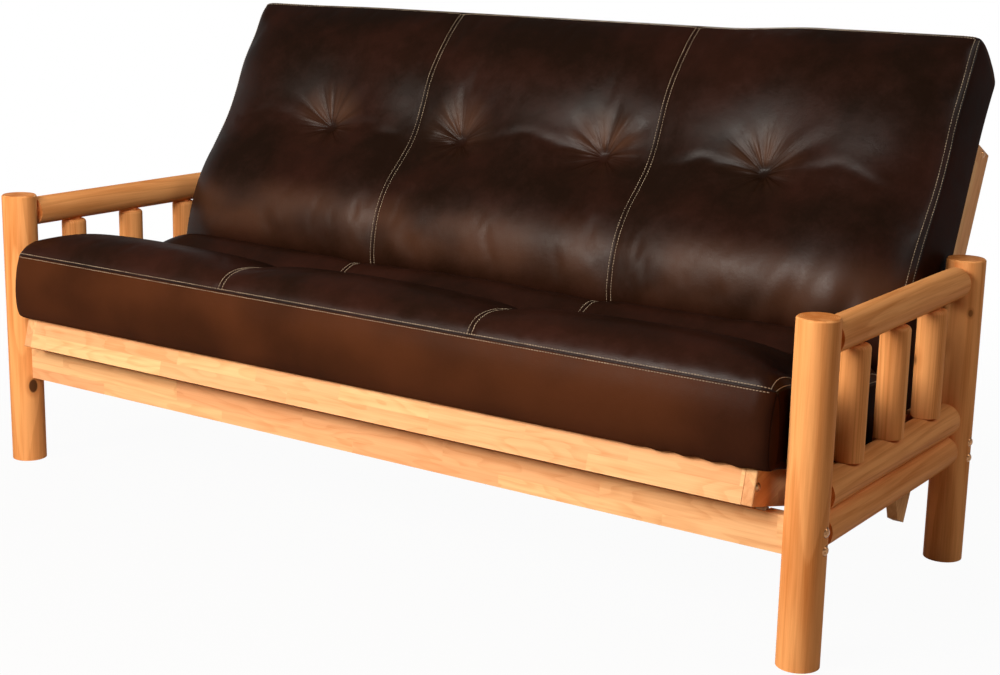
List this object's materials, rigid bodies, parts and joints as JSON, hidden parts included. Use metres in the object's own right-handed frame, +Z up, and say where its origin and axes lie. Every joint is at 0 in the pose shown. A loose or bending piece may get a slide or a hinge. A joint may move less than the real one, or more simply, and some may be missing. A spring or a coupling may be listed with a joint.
{
  "type": "log futon sofa bed",
  "caption": "Peeled-log futon sofa bed: log posts, spindled log arms, flat stretchers, and a slatted seat and back that slide and fold flat under a full-size leather mattress",
  "frame": {"origin": "on the floor under the middle of the futon's bounding box, in the sofa pose", "axes": "+X along the sofa to the sitter's left arm, +Y to the back, +Z up"},
  "size_m": [2.077, 0.9863, 1.0527],
  "materials": {
    "log": "satin",
    "boards": "satin",
    "slats": "matte",
    "track_board": "satin",
    "bronze_bolts": "gloss",
    "zinc_steel": "satin",
    "nylon": "satin",
    "mattress_cover": "satin"
  },
  "bodies": {
    "frame": {"post_front_left": "log", "post_rear_left": "log", "post_front_right": "log", "post_rear_right": "log", "arm_top_log_left": "log", "arm_middle_log_left": "log", "arm_lower_log_left": "log", "arm_spindle_front_left": "log", "arm_spindle_centre_left": "log", "arm_spindle_rear_left": "log", "deck_track_left": "track_board", "arm_top_log_right": "log", "arm_middle_log_right": "log", "arm_lower_log_right": "log", "arm_spindle_front_right": "log", "arm_spindle_centre_right": "log", "arm_spindle_rear_right": "log", "deck_track_right": "track_board", "stretcher_front": "boards", "stretcher_rear": "boards", "stretcher_bolts": "bronze_bolts", "stretcher_barrel_nuts": "zinc_steel", "seat_roller_axles": "zinc_steel", "back_stop_plates": "nylon", "deck_track_screws": "zinc_steel"},
    "seat_rollers": {"seat_roller_left": "nylon", "seat_roller_right": "nylon"},
    "seat_deck": {"seat_front_rail": "boards", "seat_rear_rail": "boards", "seat_slats": "slats", "seat_corner_bolts": "bronze_bolts", "seat_mattress": "mattress_cover", "seat_side_rail_left": "boards", "pivot_bolt_left": "zinc_steel", "pivot_washer_left": "zinc_steel", "pivot_nut_left": "zinc_steel", "seat_side_rail_right": "boards", "pivot_bolt_right": "zinc_steel", "pivot_washer_right": "zinc_steel", "pivot_nut_right": "zinc_steel"},
    "back_deck": {"back_top_rail": "boards", "back_lower_rail": "boards", "back_slats": "slats", "back_corner_bolts": "bronze_bolts", "back_mattress": "mattress_cover", "back_side_rail_left": "boards", "track_pin_left": "zinc_steel", "track_sleeve_left": "nylon", "back_side_rail_right": "boards", "track_pin_right": "zinc_steel", "track_sleeve_right": "nylon"}
  },
  "joints": [
    {"name": "seat_tilt", "type": "hinge", "parent": "frame", "child": "seat_rollers", "pos_m": [0, -0.4215, 0.2662], "axis": [1, 0, 0], "range_deg": [0, 14]},
    {"name": "deck_slide", "type": "slide", "parent": "seat_rollers", "child": "seat_deck", "axis": [0, -0.9703, 0.2419], "range_m": [0, 0.26272]},
    {"name": "back_fold", "type": "hinge", "parent": "seat_deck", "child": "back_deck", "pos_m": [0, 0.15912, 0.16761], "axis": [1, 0, 0], "range_deg": [-79.5, 0]}
  ],
  "couplings": [
    {"joint": "seat_tilt", "follows": "deck_slide", "rad_per_m": 0.93},
    {"joint": "back_fold", "follows": "deck_slide", "rad_per_m": -5.281}
  ]
}
